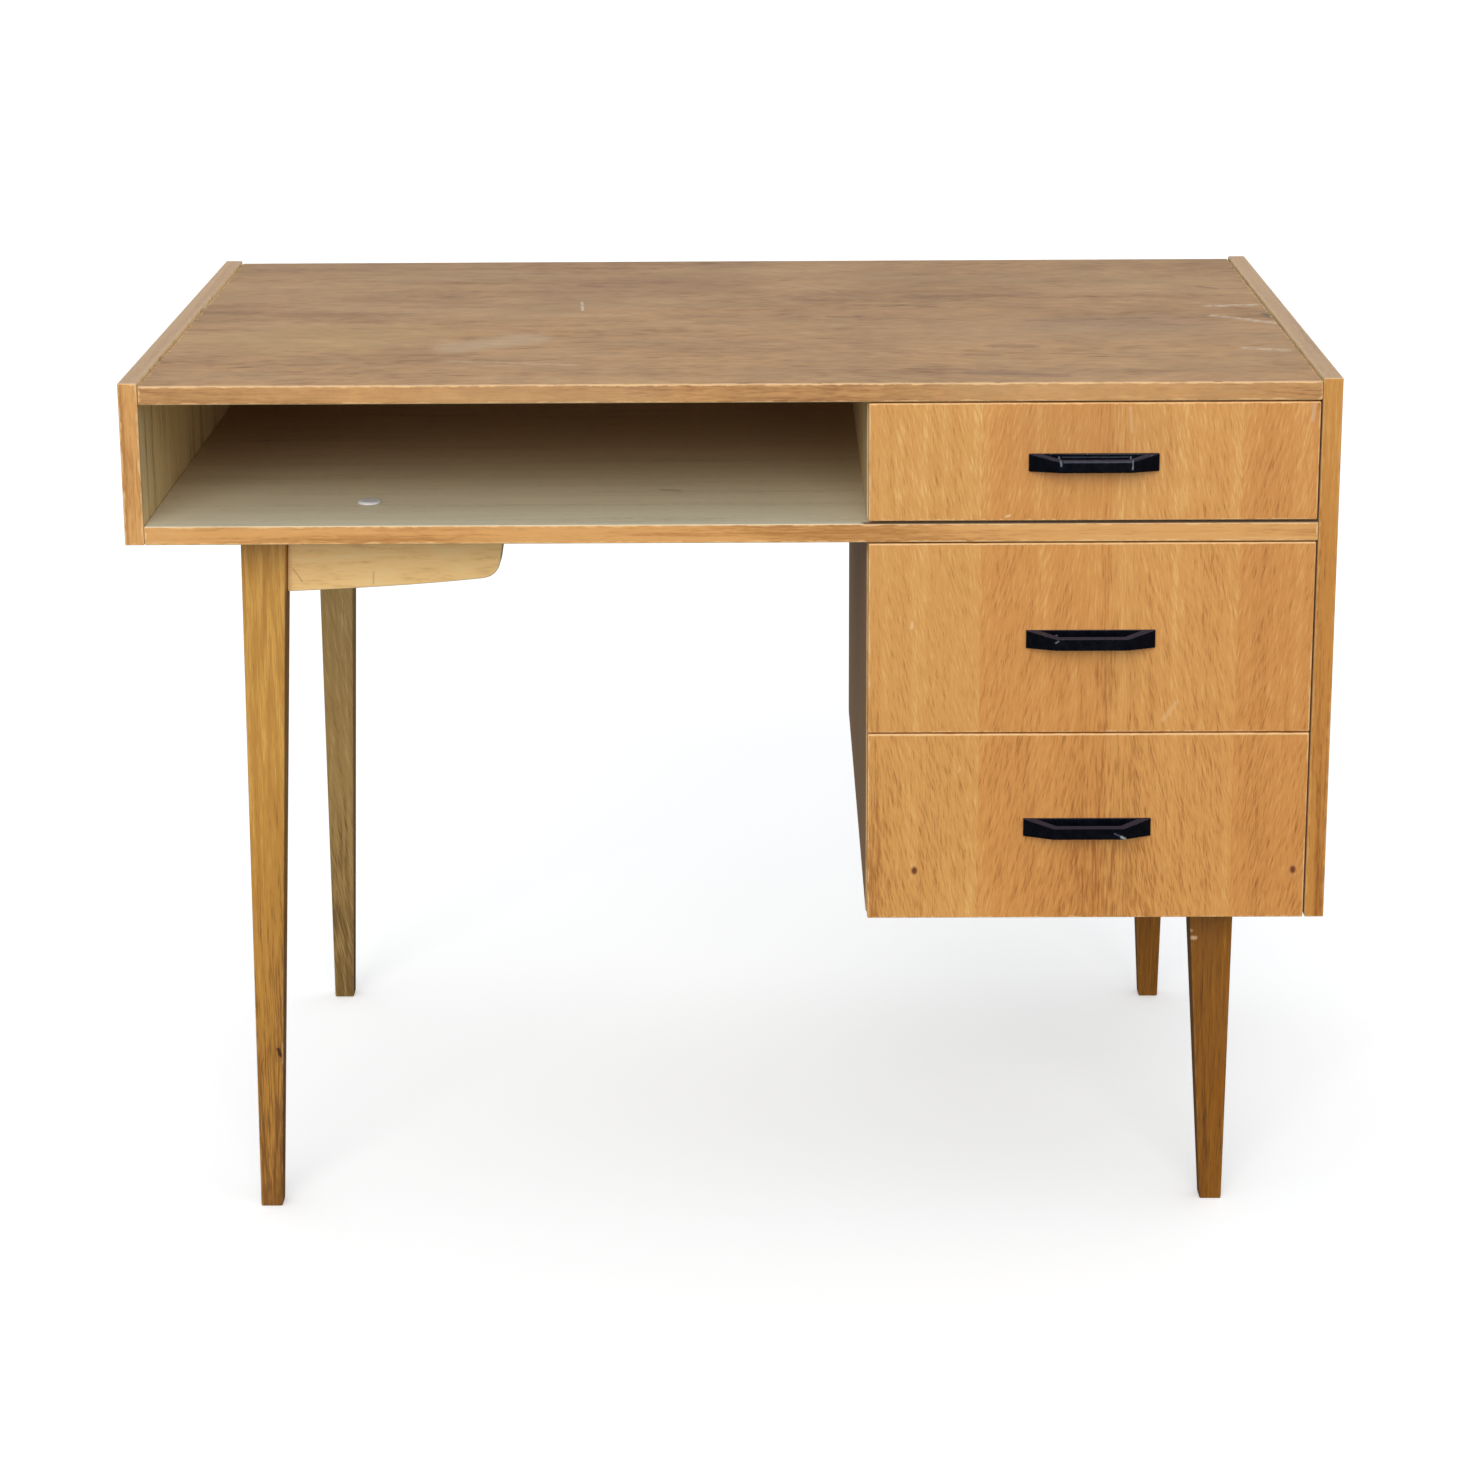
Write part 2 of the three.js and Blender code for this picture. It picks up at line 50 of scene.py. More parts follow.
# ---------- camera ----------
CAMERA_PLACE = (0.028, -3.05943, 1.31539)
CAMERA_DOWN = 14.48             # degrees, as the turn and the roll
CAMERA_TURN = -0.611
CAMERA_ROLL = -0.386
CAMERA_LENS = 85.64
CAMERA_SHIFT = -0.1163          # upwards, as a share of the frame

# ---------- light ----------
SUN_FROM = (-0.1, -1.0, 0.34)
SUN_POWER = 2.1
SUN_SPREAD = 50                 # degrees: a wide, soft window
SUN_COLOUR = (1.0, 0.99, 0.97)
ROOM_ABOVE = (0.72, 0.74, 0.77, 1.0)
ROOM_BELOW = (0.10, 0.095, 0.09, 1.0)
ROOM_SEEN = (0.90, 0.91, 0.92, 1.0)     # the plain pale wall behind low views
ROOM_FADE = (-0.25, 0.7)        # the light turns from below to above between these upward directions
FLOOR_GLOW = 0.32
FLOOR_REACH = 30.0              # metres from the middle to each side

# ---------- veneer ----------
LEAF_WIDTH = 106.6              # one leaf of veneer
LEAF_START = 100.0              # X of the first leaf's left side
LEAF_TINTS = ((1.0, 1.04, 1.06), (0.96, 0.91, 0.86), (1.0, 1.01, 1.03), (0.94, 0.88, 0.84))
LEAF_STEP = 1.7                 # each leaf is cut this much deeper from the log
HEART = dict(lean=0.0, dash_size=(1.4, 30.0))       # straight grain where two leaves mirror,
HEART_REACH = (6.0, 34.0)       # fading out between these distances from the joint
KNOT_ACROSS = 53.6              # from a leaf's side to its pin knot
KNOT_HEIGHT = 327.5
NEAR_SIDE = -290.0              # Y of the desk's front, roughly,
FAR_SIDE = 300.0                # and of its back, roughly
BEND_GRAIN = (70, 40, 260)      # sizes of the noise (across, out, along): slow waves of the grain,
BROAD_GRAIN = (45, 30, 300)     # broad light and dark areas,
FIBRE_GRAIN = (0.6, 3, 18)      # fine fibres,
BLOTCH_GRAIN = (56, 56, 80)     # stains,
SPECK_GRAIN = (7, 7, 15)        # specks in them,
FADED_GRAIN = (90, 60, 240)     # bleached areas,
NIBBLE_GRAIN = (5, 5, 16)       # worn places along arrises,
GLOSS_GRAIN = (9, 9, 40)        # and more or less glossy varnish
BLEACHED = (200, 170, 132)
MARK_FADE = 2.0                 # marks fade out over this depth
FAR = 999.0                     # stands for "no edge near"
SHARP = math.radians(25)        # edges that turn more than this are arrises
SMALL_ARRIS = 0.3               # width of the eased arrises on the metal and plastic pieces


def srgb(red, green, blue):
    """A colour given as it looks on a screen, 0 to 255, as linear light."""
    channels = []
    for value in (red, green, blue):
        share = value / 255
        channels.append(share / 12.92 if share <= 0.04045 else ((share + 0.055) / 1.055) ** 2.4)
    return (*channels, 1.0)


class Graph:
    """One procedural material, built node by node."""

    def __init__(self, name):
        self.material = bpy.data.materials.new(name)
        self.material.use_nodes = True
        self.tree = self.material.node_tree
        self.shader = self.tree.nodes["Principled BSDF"]

    def add(self, kind, inputs=None, **settings):
        node = self.tree.nodes.new("ShaderNode" + kind)
        for key, value in settings.items():
            setattr(node, key, value)
        for key, value in (inputs or {}).items():
            self.plug(node.inputs[key], value)
        return node

    def plug(self, socket, value):
        if isinstance(value, bpy.types.NodeSocket):
            self.tree.links.new(value, socket)
        else:
            socket.default_value = value

    def math(self, operation, *values):
        return self.add("Math", dict(enumerate(values)), operation=operation).outputs[0]

    def plus(self, first, *others):
        for other in others:
            first = self.math("ADD", first, other)
        return first

    def minus(self, a, b):
        return self.math("SUBTRACT", a, b)

    def times(self, a, b):
        return self.math("MULTIPLY", a, b)

    def ramp(self, value, low, high, to_low=0.0, to_high=1.0):
        """A smooth step from to_low at low to to_high at high."""
        inputs = {"Value": value, "From Min": low, "From Max": high, "To Min": to_low, "To Max": to_high}
        return self.add("MapRange", inputs, interpolation_type="SMOOTHSTEP").outputs[0]

    def vector(self, x=0.0, y=0.0, z=0.0):
        return self.add("CombineXYZ", {"X": x, "Y": y, "Z": z}).outputs[0]

    def attribute(self, name):
        vector = self.add("Attribute", attribute_name=name).outputs["Vector"]
        return self.add("SeparateXYZ", {0: vector}).outputs

    def place(self):
        """The place on the object, in millimetres."""
        metres = self.add("SeparateXYZ", {0: self.add("TexCoord").outputs["Object"]}).outputs
        return [self.times(value, 1 / MM) for value in metres]

    def noise(self, x, y, z, size, detail=2.0, roughness=0.5):
        """Noise from 0 to 1 whose grains are about size = (x, y, z) millimetres."""
        scaled = [self.times(value, 1 / length) for value, length in zip((x, y, z), size)]
        inputs = {"Vector": self.vector(*scaled), "Scale": 1.0, "Detail": detail, "Roughness": roughness}
        return self.add("TexNoise", inputs).outputs[0]

    def sway(self, value, amount):
        """Noise turned into an offset around zero."""
        return self.times(self.minus(value, 0.5), amount)

    def mix(self, share, a, b, blend="MIX"):
        node = self.add("Mix", data_type="RGBA", blend_type=blend)
        for index, value in ((0, share), (6, a), (7, b)):
            self.plug(node.inputs[index], value)
        return node.outputs[2]

    def shade(self, colour, amount):
        """colour made lighter or darker by the factor amount."""
        return self.mix(1.0, colour, self.add("CombineColor", {0: amount, 1: amount, 2: amount}).outputs[0],
                        "MULTIPLY")

    def bump(self, height, depth):
        inputs = {"Height": height, "Distance": depth * MM, "Strength": 1.0}
        self.plug(self.shader.inputs["Normal"], self.add("Bump", inputs).outputs[0])

    def settle(self, colour, roughness, **constants):
        self.plug(self.shader.inputs["Base Color"], colour)
        self.plug(self.shader.inputs["Roughness"], roughness)
        for key, value in constants.items():
            self.shader.inputs[key.replace("_", " ")].default_value = value
        return self.material


def leaves(g, across):
    """Folds the coordinate across the grain into mirrored leaves of veneer, each with its tint."""
    place = g.times(g.minus(across, LEAF_START), 1 / LEAF_WIDTH)
    index = g.math("FLOOR", place)
    share = g.minus(place, index)
    odd = g.math("ABSOLUTE", g.math("MODULO", index, 2.0))
    folded = g.times(g.math("ABSOLUTE", g.minus(share, odd)), LEAF_WIDTH)
    ramp = g.add("ValToRGB", {0: g.times(g.plus(index, 0.5), 1 / len(LEAF_TINTS))})
    ramp.color_ramp.interpolation = "CONSTANT"
    stops = ramp.color_ramp.elements
    while len(stops) < len(LEAF_TINTS):
        stops.new(1.0)
    for number, tint in enumerate(LEAF_TINTS):
        stops[number].position = number / len(LEAF_TINTS)
        stops[number].color = (*tint, 1.0)
    return folded, index, ramp.outputs[0]


def oak_tone(g, across, out, along, look):
    """The tone of the grain, 0 for dark to 1 for light, and the share of open pores."""
    bend = g.noise(across, out, along, BEND_GRAIN, 2.0)
    bent = g.plus(across, g.sway(bend, 2 * look["wander"]))
    leaning = g.plus(bent, g.times(along, look["lean"]))
    tone = g.plus(0.5, g.sway(g.noise(bent, out, along, BROAD_GRAIN, 3.0), look["broad"]))
    ring = (look["ring_size"], 12, 420)
    tone = g.plus(tone, g.sway(g.noise(bent, out, along, ring, 3.0, 0.6), look["rings"]))
    if look["figure"]:
        loops = g.noise(bent, out, along, look["figure_size"], 1.5, 0.4)
        lines = g.math("SINE", g.times(loops, look["loops"]))
        tone = g.plus(tone, g.times(lines, g.ramp(bend, 0.35, 0.6, 0.3 * look["figure"], look["figure"])))
    wide, long = look["streak_size"]
    streak = g.noise(leaning, out, along, (wide, 6, long), 2.0)
    tone = g.plus(tone, g.sway(streak, look["streaks"]))
    wide, long = look["dash_size"]
    dash = g.ramp(g.noise(leaning, out, along, (wide, 3, long), 1.0), 0.42, 0.7)
    tone = g.minus(tone, g.times(dash, look["dashes"]))
    fibre = g.noise(bent, out, along, FIBRE_GRAIN, 2.0, 0.6)
    return g.plus(tone, g.sway(fibre, look["fibres"])), dash


GRAIN = dict(wander=3.0, broad=0.3, rings=0.4, ring_size=10.0, figure=0.0, figure_size=(60, 40, 500),
             loops=50.0, streaks=0.5, streak_size=(2.4, 24.0), dashes=0.3, dash_size=(1.1, 10.0),
             lean=0.0, fibres=0.3)


def wood(name, dark, middle, light, *, leafed=False, painted_shade_slope=None, near=None, far=None,
         sides=(NEAR_SIDE, FAR_SIDE), stains=0.0, worn=None, wear=0.0, wear_width=1.2, roughness=0.45,
         coat=0.1, depth=0.02, marks=(), marks_to=None, **look):
    """Varnished or bare wood. The attribute "grain" holds (across, out, along) in millimetres.
    slope = (from, to, amount) paints shade into the tone along the grain, darker at from and lighter
    at to; near and far are tints at the two sides across the grain. Each mark is a function that paints
    one feature, on surfaces whose out is below marks_to if that is given."""
    look = dict(GRAIN, **look)
    g = Graph(name)
    across, out, along = g.attribute("grain")
    if leafed:
        folded, index, tint = leaves(g, across)
        sheet = g.plus(out, g.times(index, LEAF_STEP))
        tone, dash = oak_tone(g, folded, sheet, along, look)
        heart = oak_tone(g, folded, sheet, along, dict(look, **HEART))[0]
        blend = g.ramp(folded, *HEART_REACH)
        tone = g.plus(g.times(tone, blend), g.times(heart, g.minus(1.0, blend)))
        tone = g.plus(tone, g.ramp(folded, 0.0, 60.0, -0.1, 0.04))
    else:
        tone, dash = oak_tone(g, across, out, along, look)
    # painted shade: slope makes the tone darker towards the low end of the grain, lighter at the high end
    if painted_shade_slope:
        start, end, amount = painted_shade_slope
        tone = g.plus(tone, g.ramp(along, start, end, -amount, amount))

    colour = g.mix(g.ramp(tone, 0.0, 0.5), srgb(*dark), srgb(*middle))
    colour = g.mix(g.ramp(tone, 0.5, 1.0), colour, srgb(*light))
    if leafed:
        colour = g.mix(1.0, colour, tint, "MULTIPLY")
        colour = knot(g, folded, along, index, colour)
    if near:
        colour = g.mix(1.0, colour, g.mix(g.ramp(across, *sides), (*near, 1.0), (*far, 1.0)), "MULTIPLY")
    rough = g.plus(roughness, g.sway(g.noise(across, out, along, GLOSS_GRAIN, 3.0), 0.22))
    if stains:
        blotch = g.noise(across, out, along, BLOTCH_GRAIN, 5.0, 0.62)
        colour = g.shade(colour, g.ramp(blotch, 0.3, 0.7, 1 - stains, 1 + stains * 0.6))
        speck = g.noise(across, out, along, SPECK_GRAIN, 3.0, 0.6)
        colour = g.shade(colour, g.ramp(speck, 0.3, 0.7, 1 - stains * 0.6, 1 + stains * 0.5))
        faded = g.ramp(g.noise(across, out, g.plus(along, 700.0), FADED_GRAIN, 3.0), 0.44, 0.7)
        colour = g.mix(g.times(faded, stains * 2.2), colour, srgb(*BLEACHED))
        rough = g.plus(rough, g.times(faded, 0.1))
    plain = colour
    for mark in marks:
        colour = mark(g, across, along, colour)
    if marks_to is not None:
        colour = g.mix(g.ramp(out, marks_to, marks_to + MARK_FADE), colour, plain)
    if worn:
        span = g.attribute("span")
        half = g.attribute("half")
        gaps = [g.minus(half[i], g.math("ABSOLUTE", span[i])) for i in range(2)]
        edge = g.math("MINIMUM", *gaps)
        nibble = g.noise(across, out, along, NIBBLE_GRAIN, 3.0, 0.65)
        reach = g.times(g.ramp(nibble, 0.25, 0.75), 2 * wear_width)
        share = g.minus(1.0, g.ramp(g.minus(edge, reach), -0.6, 0.6))
        colour = g.mix(g.times(share, wear), colour, srgb(*worn))
        rough = g.plus(rough, g.times(share, 0.12))
    g.bump(g.minus(g.times(tone, 0.4), g.times(dash, 0.6)), depth)
    return g.settle(colour, rough, Coat_Weight=coat, Coat_Roughness=0.25, IOR=1.45)


# ---------- marks of use and growth, and painted light and shade ---
def knot(g, folded, along, index, colour):
    """A pin knot that every leaf repeats, darkest in the outer leaves, with a lighter flame round it."""
    strength = g.ramp(g.math("ABSOLUTE", g.minus(index, 1.5)), 0.5, 1.5, 0.12, 1.0)
    x = g.minus(folded, KNOT_ACROSS)
    z = g.minus(along, KNOT_HEIGHT)
    bent = g.plus(x, g.times(g.math("ABSOLUTE", z), 0.35))
    halo = g.times(g.ramp(g.math("ABSOLUTE", bent), 0.0, 3.0, 1.0, 0.0),
                   g.ramp(g.math("ABSOLUTE", z), 3.0, 16.0, 1.0, 0.0))
    colour = g.mix(g.times(halo, g.times(strength, 0.3)), colour, srgb(234, 186, 118))
    eye = g.math("SQRT", g.plus(g.times(x, x), g.times(g.times(z, z), 0.5)))
    return g.mix(g.times(g.ramp(eye, 1.2, 3.6, 1.0, 0.0), strength), colour, srgb(116, 60, 26))


def scratch(start, end, width, tone, strength=0.6, broken=False):
    """A mark along a straight line between two places given as (across, along). A broken one is patchy."""
    run = (end[0] - start[0], end[1] - start[1])
    square = run[0] ** 2 + run[1] ** 2

    def paint(g, across, along, colour):
        a = g.minus(across, start[0])
        b = g.minus(along, start[1])
        share = g.times(g.plus(g.times(a, run[0]), g.times(b, run[1])), 1 / square)
        share = g.math("MINIMUM", g.math("MAXIMUM", share, 0.0), 1.0)
        da = g.minus(a, g.times(share, run[0]))
        db = g.minus(b, g.times(share, run[1]))
        away = g.math("SQRT", g.plus(g.times(da, da), g.times(db, db)))
        rough_edge = g.sway(g.noise(across, 0.0, along, (1.5, 1.5, 4.0)), width * 1.2)
        cover = g.ramp(g.plus(away, rough_edge), width * 0.4, width * 1.2, strength, 0.0)
        if broken:
            patches = g.noise(across, 0.0, along, (4.0, 4.0, 9.0), 3.0, 0.65)
            cover = g.times(cover, g.ramp(patches, 0.36, 0.58))
        return g.mix(cover, colour, srgb(*tone))
    return paint


# ---------- finishes ----------
HONEY = dict(dark=(168, 104, 42), middle=(220, 156, 82), light=(241, 192, 119))
AMBER = dict(dark=(152, 90, 30), middle=(202, 138, 60), light=(224, 168, 90))
FADED = dict(dark=(160, 108, 60), middle=(205, 153, 94), light=(230, 190, 136))
SHADED = dict(dark=(148, 103, 58), middle=(194, 156, 114), light=(214, 190, 156))
PALE = dict(dark=(184, 126, 62), middle=(226, 168, 98), light=(244, 204, 140))
WORN = dict(worn=(250, 206, 146), wear=0.7)
SCUFF = (232, 214, 190)
FRONT_MARKS = (
    # light lines on the top arrises of the bottom and middle drawer fronts: wear and a painted highlight
    scratch((115, 447.4), (481, 447.4), 1.1, (240, 202, 142), 0.7),
    scratch((115, 611.8), (481, 611.8), 0.8, (240, 202, 142), 0.5),
    scratch((360, 460), (371, 475), 2.4, (234, 192, 136), 0.35),
    scratch((150, 540), (150.4, 545), 1.3, (246, 210, 158), 0.6),
    scratch((190, 415), (191, 419), 1.2, (236, 190, 134), 0.4),
    scratch((227, 635), (230, 636), 1.2, (246, 214, 166), 0.6),
    scratch((327, 726), (329, 706), 1.4, (236, 196, 146), 0.45),
    scratch((476, 715), (477, 729), 2.0, (220, 186, 154), 0.45),
    # painted shade on the top drawer front round and above its handle
    scratch((260, 704), (330, 700), 46.0, (150, 96, 56), 0.12),
    scratch((307, 306), (311, 444), 0.7, (164, 104, 48), 0.4),
    scratch((312, 463), (309, 602), 0.7, (164, 104, 48), 0.3),
)
TOP_MARKS = (
    scratch((-95, -400), (-80, -320), 75.0, (196, 164, 106), 0.3),       # yellowed and darkened areas
    scratch((150, -150), (190, -30), 60.0, (158, 116, 80), 0.3),
    scratch((-35, 290), (-30, 390), 45.0, (156, 128, 106), 0.25),
    scratch((-130, -235), (-90, -180), 26.0, (206, 182, 148), 0.4),
    scratch((28, -400), (26, -340), 14.0, (146, 104, 66), 0.4),
    scratch((104, -355), (86, -235), 10.0, (156, 112, 72), 0.35),
    scratch((-118, -6), (-104, 40), 10.0, (146, 106, 72), 0.3),
    scratch((-250, 200), (-262, 275), 9.0, (132, 98, 76), 0.4),
    scratch((-133, 227), (-137, 256), 10.0, (138, 96, 66), 0.45),
    scratch((88, -139), (44, -136), 1.5, (232, 214, 194), 0.8, True),     # a white scratch by a knot
    scratch((176, -142), (170, -128), 8.0, (128, 92, 62), 0.5),
    scratch((7, 86), (6, 114), 3.0, (112, 78, 52), 0.55),                 # short dark strokes
    scratch((93, 56), (92, 82), 4.0, (128, 92, 64), 0.4),
    scratch((56, 170), (56, 184), 3.5, (116, 82, 56), 0.5),
    scratch((153, 436), (143, 450), 4.0, (124, 90, 62), 0.45),
    scratch((174, 56), (132, 96), 2.5, (206, 182, 150), 0.45, True),
    scratch((53, 434), (57, 478), 6.5, SCUFF, 0.55, True),                # scuffs at the right end
    scratch((5, 432), (-33, 482), 6.5, SCUFF, 0.55, True),
    scratch((-147, 440), (-159, 472), 6.0, SCUFF, 0.5, True),
    scratch((12, 478), (-8, 482), 4.0, (96, 84, 58), 0.7),
    scratch((-188, -240), (-208, -130), 4.0, (212, 186, 148), 0.5, True),
)
SHELF_MARKS = (
    scratch((-165, -60), (-168, -45), 3.0, (110, 96, 74), 0.4),
    scratch((-182, 11), (-186, 27), 2.0, (216, 206, 186), 0.4),
    scratch((-288, 113), (-288, 484), 6.0, (110, 76, 42), 0.85),          # painted shade in the gap under the top drawer
)
LONG_LEG_FRONT = -238.5         # marks stay on the part of a leg that lies in front of this Y
SHORT_LEG_FRONT = -228.0
LEG_MARKS = (
    scratch((-398.0, 147.0), (-396.0, 141.2), 1.9, (66, 28, 4), 0.95),
    scratch((-393.9, 152.5), (-393.8, 134.5), 1.2, (222, 178, 118), 0.4),
)
BRACE_MARKS = (
    scratch((575, -371.5), (564, -364), 0.8, (150, 98, 48), 0.4),
    scratch((572, -303.2), (562, -303.8), 0.9, (186, 130, 74), 0.4),
)
HANDLE_MARKS = (
    scratch((682.6, 269.7), (685.6, 269.4), 1.0, (120, 130, 146), 0.7),
    scratch((679.1, 328.0), (685.7, 328.0), 0.7, (130, 142, 150), 0.7),
    # a painted highlight along the top arris of the top drawer's grip
    scratch((685.4, 272.0), (685.4, 326.0), 0.7, (86, 92, 108), 0.4),
    scratch((367.1, 319.7), (364.0, 326.6), 0.8, (90, 100, 120), 0.6),
    scratch((364.0, 325.6), (362.4, 328.6), 1.3, (150, 160, 162), 0.9),
    scratch((532.7, 268.0), (534.2, 270.0), 0.9, (110, 120, 134), 0.7),
)
CHIP_MARKS = (
    scratch((393.8, 251.7), (396.4, 250.8), 1.5, (226, 190, 150), 0.7),
    scratch((395.8, 243.9), (399.8, 244.3), 2.2, (226, 190, 150), 0.8),
)


def make_finishes():
    edge = dict(rings=0.8, ring_size=5.0, streaks=0.45, streak_size=(1.5, 26.0), dashes=0.12, broad=1.4)
    leg = dict(rings=0.5, ring_size=4.5, figure=0.1, figure_size=(16, 16, 240), loops=34.0, streaks=0.7,
               streak_size=(1.2, 34.0), dashes=0.14, dash_size=(0.9, 14.0), wander=4.0, broad=0.6,
               fibres=0.5, wear=0.3, wear_width=0.8, coat=0.0)
    return {
        # painted shade on the drawer fronts: the slope makes them darker towards the floor
        "front": wood("oak_front", **HONEY, **WORN, leafed=True, lean=0.25, rings=0.7, ring_size=12.0,
                      streaks=0.85, streak_size=(1.7, 17.0), dashes=0.12, dash_size=(1.2, 9.0),
                      fibres=0.7, painted_shade_slope=(300.0, 640.0, 0.08), wear_width=0.9, marks=FRONT_MARKS),
        "panel": wood("oak_panel", **HONEY, **WORN, rings=0.4, ring_size=11.0, figure=0.08, lean=0.05,
                      streak_size=(2.2, 20.0), dashes=0.1, wear_width=0.9),
        "panel_shaded": wood("oak_panel_shaded", **SHADED, **WORN, rings=0.4, ring_size=11.0, figure=0.06,
                             dashes=0.12),
        "edge": wood("oak_edge", **HONEY, **WORN, **edge),
        "edge_top": wood("oak_edge_top", **FADED, **WORN, **dict(edge, rings=0.5, broad=1.0, stains=0.1)),
        "edge_pale": wood("oak_edge_pale", **PALE, **WORN, **edge),
        "edge_amber": wood("oak_edge_amber", **AMBER, worn=(228, 174, 108), wear=0.5, **edge),
        "edge_faded": wood("oak_edge_faded", (164, 126, 90), (204, 166, 124), (222, 190, 150),
                           worn=(222, 194, 156), wear=0.5, **dict(edge, broad=0.5)),
        "top": wood("oak_top", (132, 88, 48), (180, 139, 93), (214, 178, 130), rings=0.36, ring_size=16.0,
                    figure=0.06, figure_size=(110, 40, 300), loops=60.0, streaks=0.5,
                    streak_size=(5.0, 26.0), dashes=0.16, dash_size=(4.0, 18.0), wander=8.0, broad=0.6,
                    near=(1.13, 1.1, 1.06), far=(0.94, 0.92, 0.88), stains=0.13,
                    worn=(236, 200, 152), wear=0.6, wear_width=1.6, roughness=0.5, coat=0.05,
                    marks=TOP_MARKS),
        # painted light at the front of the open shelf and painted shade deepening towards its back, by near
        # and far
        "shelf": wood("shelf_lining", (150, 132, 102), (214, 204, 177), (234, 226, 206), rings=0.5,
                      ring_size=16.0, streaks=0.3, streak_size=(2.4, 60.0), dashes=0.12, roughness=0.6,
                      coat=0.0, near=(1.12, 1.14, 1.15), far=(0.76, 0.54, 0.36), sides=(NEAR_SIDE, 160.0),
                      marks=SHELF_MARKS),
        # the lining with stronger bands, painted lighter: painted light on the left wall inside the open
        # shelf
        "lining_banded_painted_light": wood("pale_lining_banded_painted_light", (160, 128, 80), (248, 222, 166), (255, 246, 212),
                              rings=1.5, ring_size=13.0, broad=0.8, streaks=0.5, streak_size=(3.0, 60.0),
                              dashes=0.1, roughness=0.6, coat=0.0, worn=(226, 206, 168), wear=0.3),
        "lining": wood("pale_lining", (150, 124, 84), (218, 194, 146), (240, 222, 184), rings=0.9,
                       ring_size=20.0, streaks=0.5, streak_size=(3.0, 60.0), dashes=0.2, roughness=0.6,
                       coat=0.0, worn=(226, 206, 168), wear=0.3),
        # painted shade: the slope makes the leg darker towards the foot
        "leg": wood("leg_oak", (124, 78, 28), (191, 136, 54), (222, 170, 82), **leg,
                    painted_shade_slope=(0.0, 560.0, 0.26), worn=(228, 184, 120), marks=LEG_MARKS,
                    marks_to=LONG_LEG_FRONT),
        # painted shade: the rear left leg as a darker, greyer copy of the leg finish
        "leg_olive_painted_shade": wood("leg_oak_olive_painted_shade", (116, 88, 44), (172, 138, 80), (204, 172, 112),
                          **dict(leg, lean=0.2), painted_shade_slope=(0.0, 520.0, 0.3), worn=(196, 164, 108)),
        # painted shade: the right legs under the pedestal as a darker copy of the leg finish
        "leg_dark_painted_shade": wood("leg_oak_dark_painted_shade", (92, 50, 4), (142, 88, 12), (178, 122, 40), **leg,
                         worn=(196, 148, 84), marks=CHIP_MARKS, marks_to=SHORT_LEG_FRONT),
        "brace": wood("pale_brace", (226, 178, 112), (255, 213, 143), (255, 234, 180), rings=0.5,
                      ring_size=9.0, figure=0.12, figure_size=(30, 20, 160), streaks=0.4,
                      dashes=0.15, worn=(254, 226, 176), wear=0.4, wear_width=0.8, marks=BRACE_MARKS),
        "box": wood("box_wood", (186, 152, 100), (212, 182, 134), (228, 202, 160), rings=0.6,
                    ring_size=9.0, figure=0.16, dashes=0.2, roughness=0.6, coat=0.0),
        "ply": wood("plywood", (150, 112, 70), (184, 146, 100), (204, 170, 126), rings=0.5,
                    ring_size=22.0, figure=0.3, figure_size=(80, 40, 300), wander=16.0, dashes=0.3,
                    roughness=0.65, coat=0.0),
        "lacquer": lacquer(),
        "steel": steel(),
        "cap": cap_plastic(),
    }


def lacquer():
    """Glossy black lacquer with a painted bluish sky reflection on its upward faces, chipped along some
    arrises.
    """
    g = Graph("black_lacquer")
    x, y, z = g.attribute("grain")
    half = g.attribute("half")
    cloud = g.noise(x, y, z, (6, 6, 6), 4.0, 0.6)
    chip = g.ramp(g.noise(x, y, z, (2.6, 2.6, 2.6), 3.0, 0.7), 0.64, 0.68)
    arris = g.ramp(half[0], 1.0, 0.0)
    chipped = g.times(chip, arris)
    colour = g.mix(g.ramp(cloud, 0.3, 0.8), srgb(6, 8, 14), srgb(13, 16, 24))
    # painted reflection: a bluish sky reflection on the upward faces, where the varnish is also rougher
    up = g.add("SeparateXYZ", {0: g.add("NewGeometry").outputs["Normal"]}).outputs["Z"]
    painted_sky_reflection = g.times(g.ramp(up, 0.3, 0.95), g.ramp(cloud, 0.2, 0.7, 0.5, 0.9))
    colour = g.mix(painted_sky_reflection, colour, srgb(42, 48, 70))
    colour = g.mix(chipped, colour, srgb(150, 140, 128))
    for mark in HANDLE_MARKS:
        colour = mark(g, x, z, colour)
    rough = g.plus(g.ramp(cloud, 0.2, 0.8, 0.14, 0.26), g.times(chipped, 0.3), g.times(painted_sky_reflection, 0.4))
    g.bump(g.plus(g.times(cloud, 0.1), g.times(chipped, -1.0)), 0.04)
    return g.settle(colour, rough, IOR=1.3, Specular_IOR_Level=0.35)


def steel():
    """Zinc-plated steel, a little mottled."""
    g = Graph("steel")
    cloud = g.noise(*g.place(), (5, 5, 5), 4.0, 0.6)
    colour = g.mix(g.ramp(cloud, 0.3, 0.7), srgb(120, 118, 112), srgb(176, 176, 172))
    g.bump(cloud, 0.03)
    return g.settle(colour, g.ramp(cloud, 0.2, 0.8, 0.28, 0.5), Metallic=0.95)


def cap_plastic():
    """White plastic, a little duller in places."""
    g = Graph("white_plastic")
    cloud = g.noise(*g.place(), (7, 7, 7), 4.0, 0.6)
    colour = g.mix(g.ramp(cloud, 0.35, 0.75), srgb(206, 206, 206), srgb(238, 238, 238))
    g.bump(cloud, 0.03)
    return g.settle(colour, g.ramp(cloud, 0.2, 0.8, 0.3, 0.5), IOR=1.46)


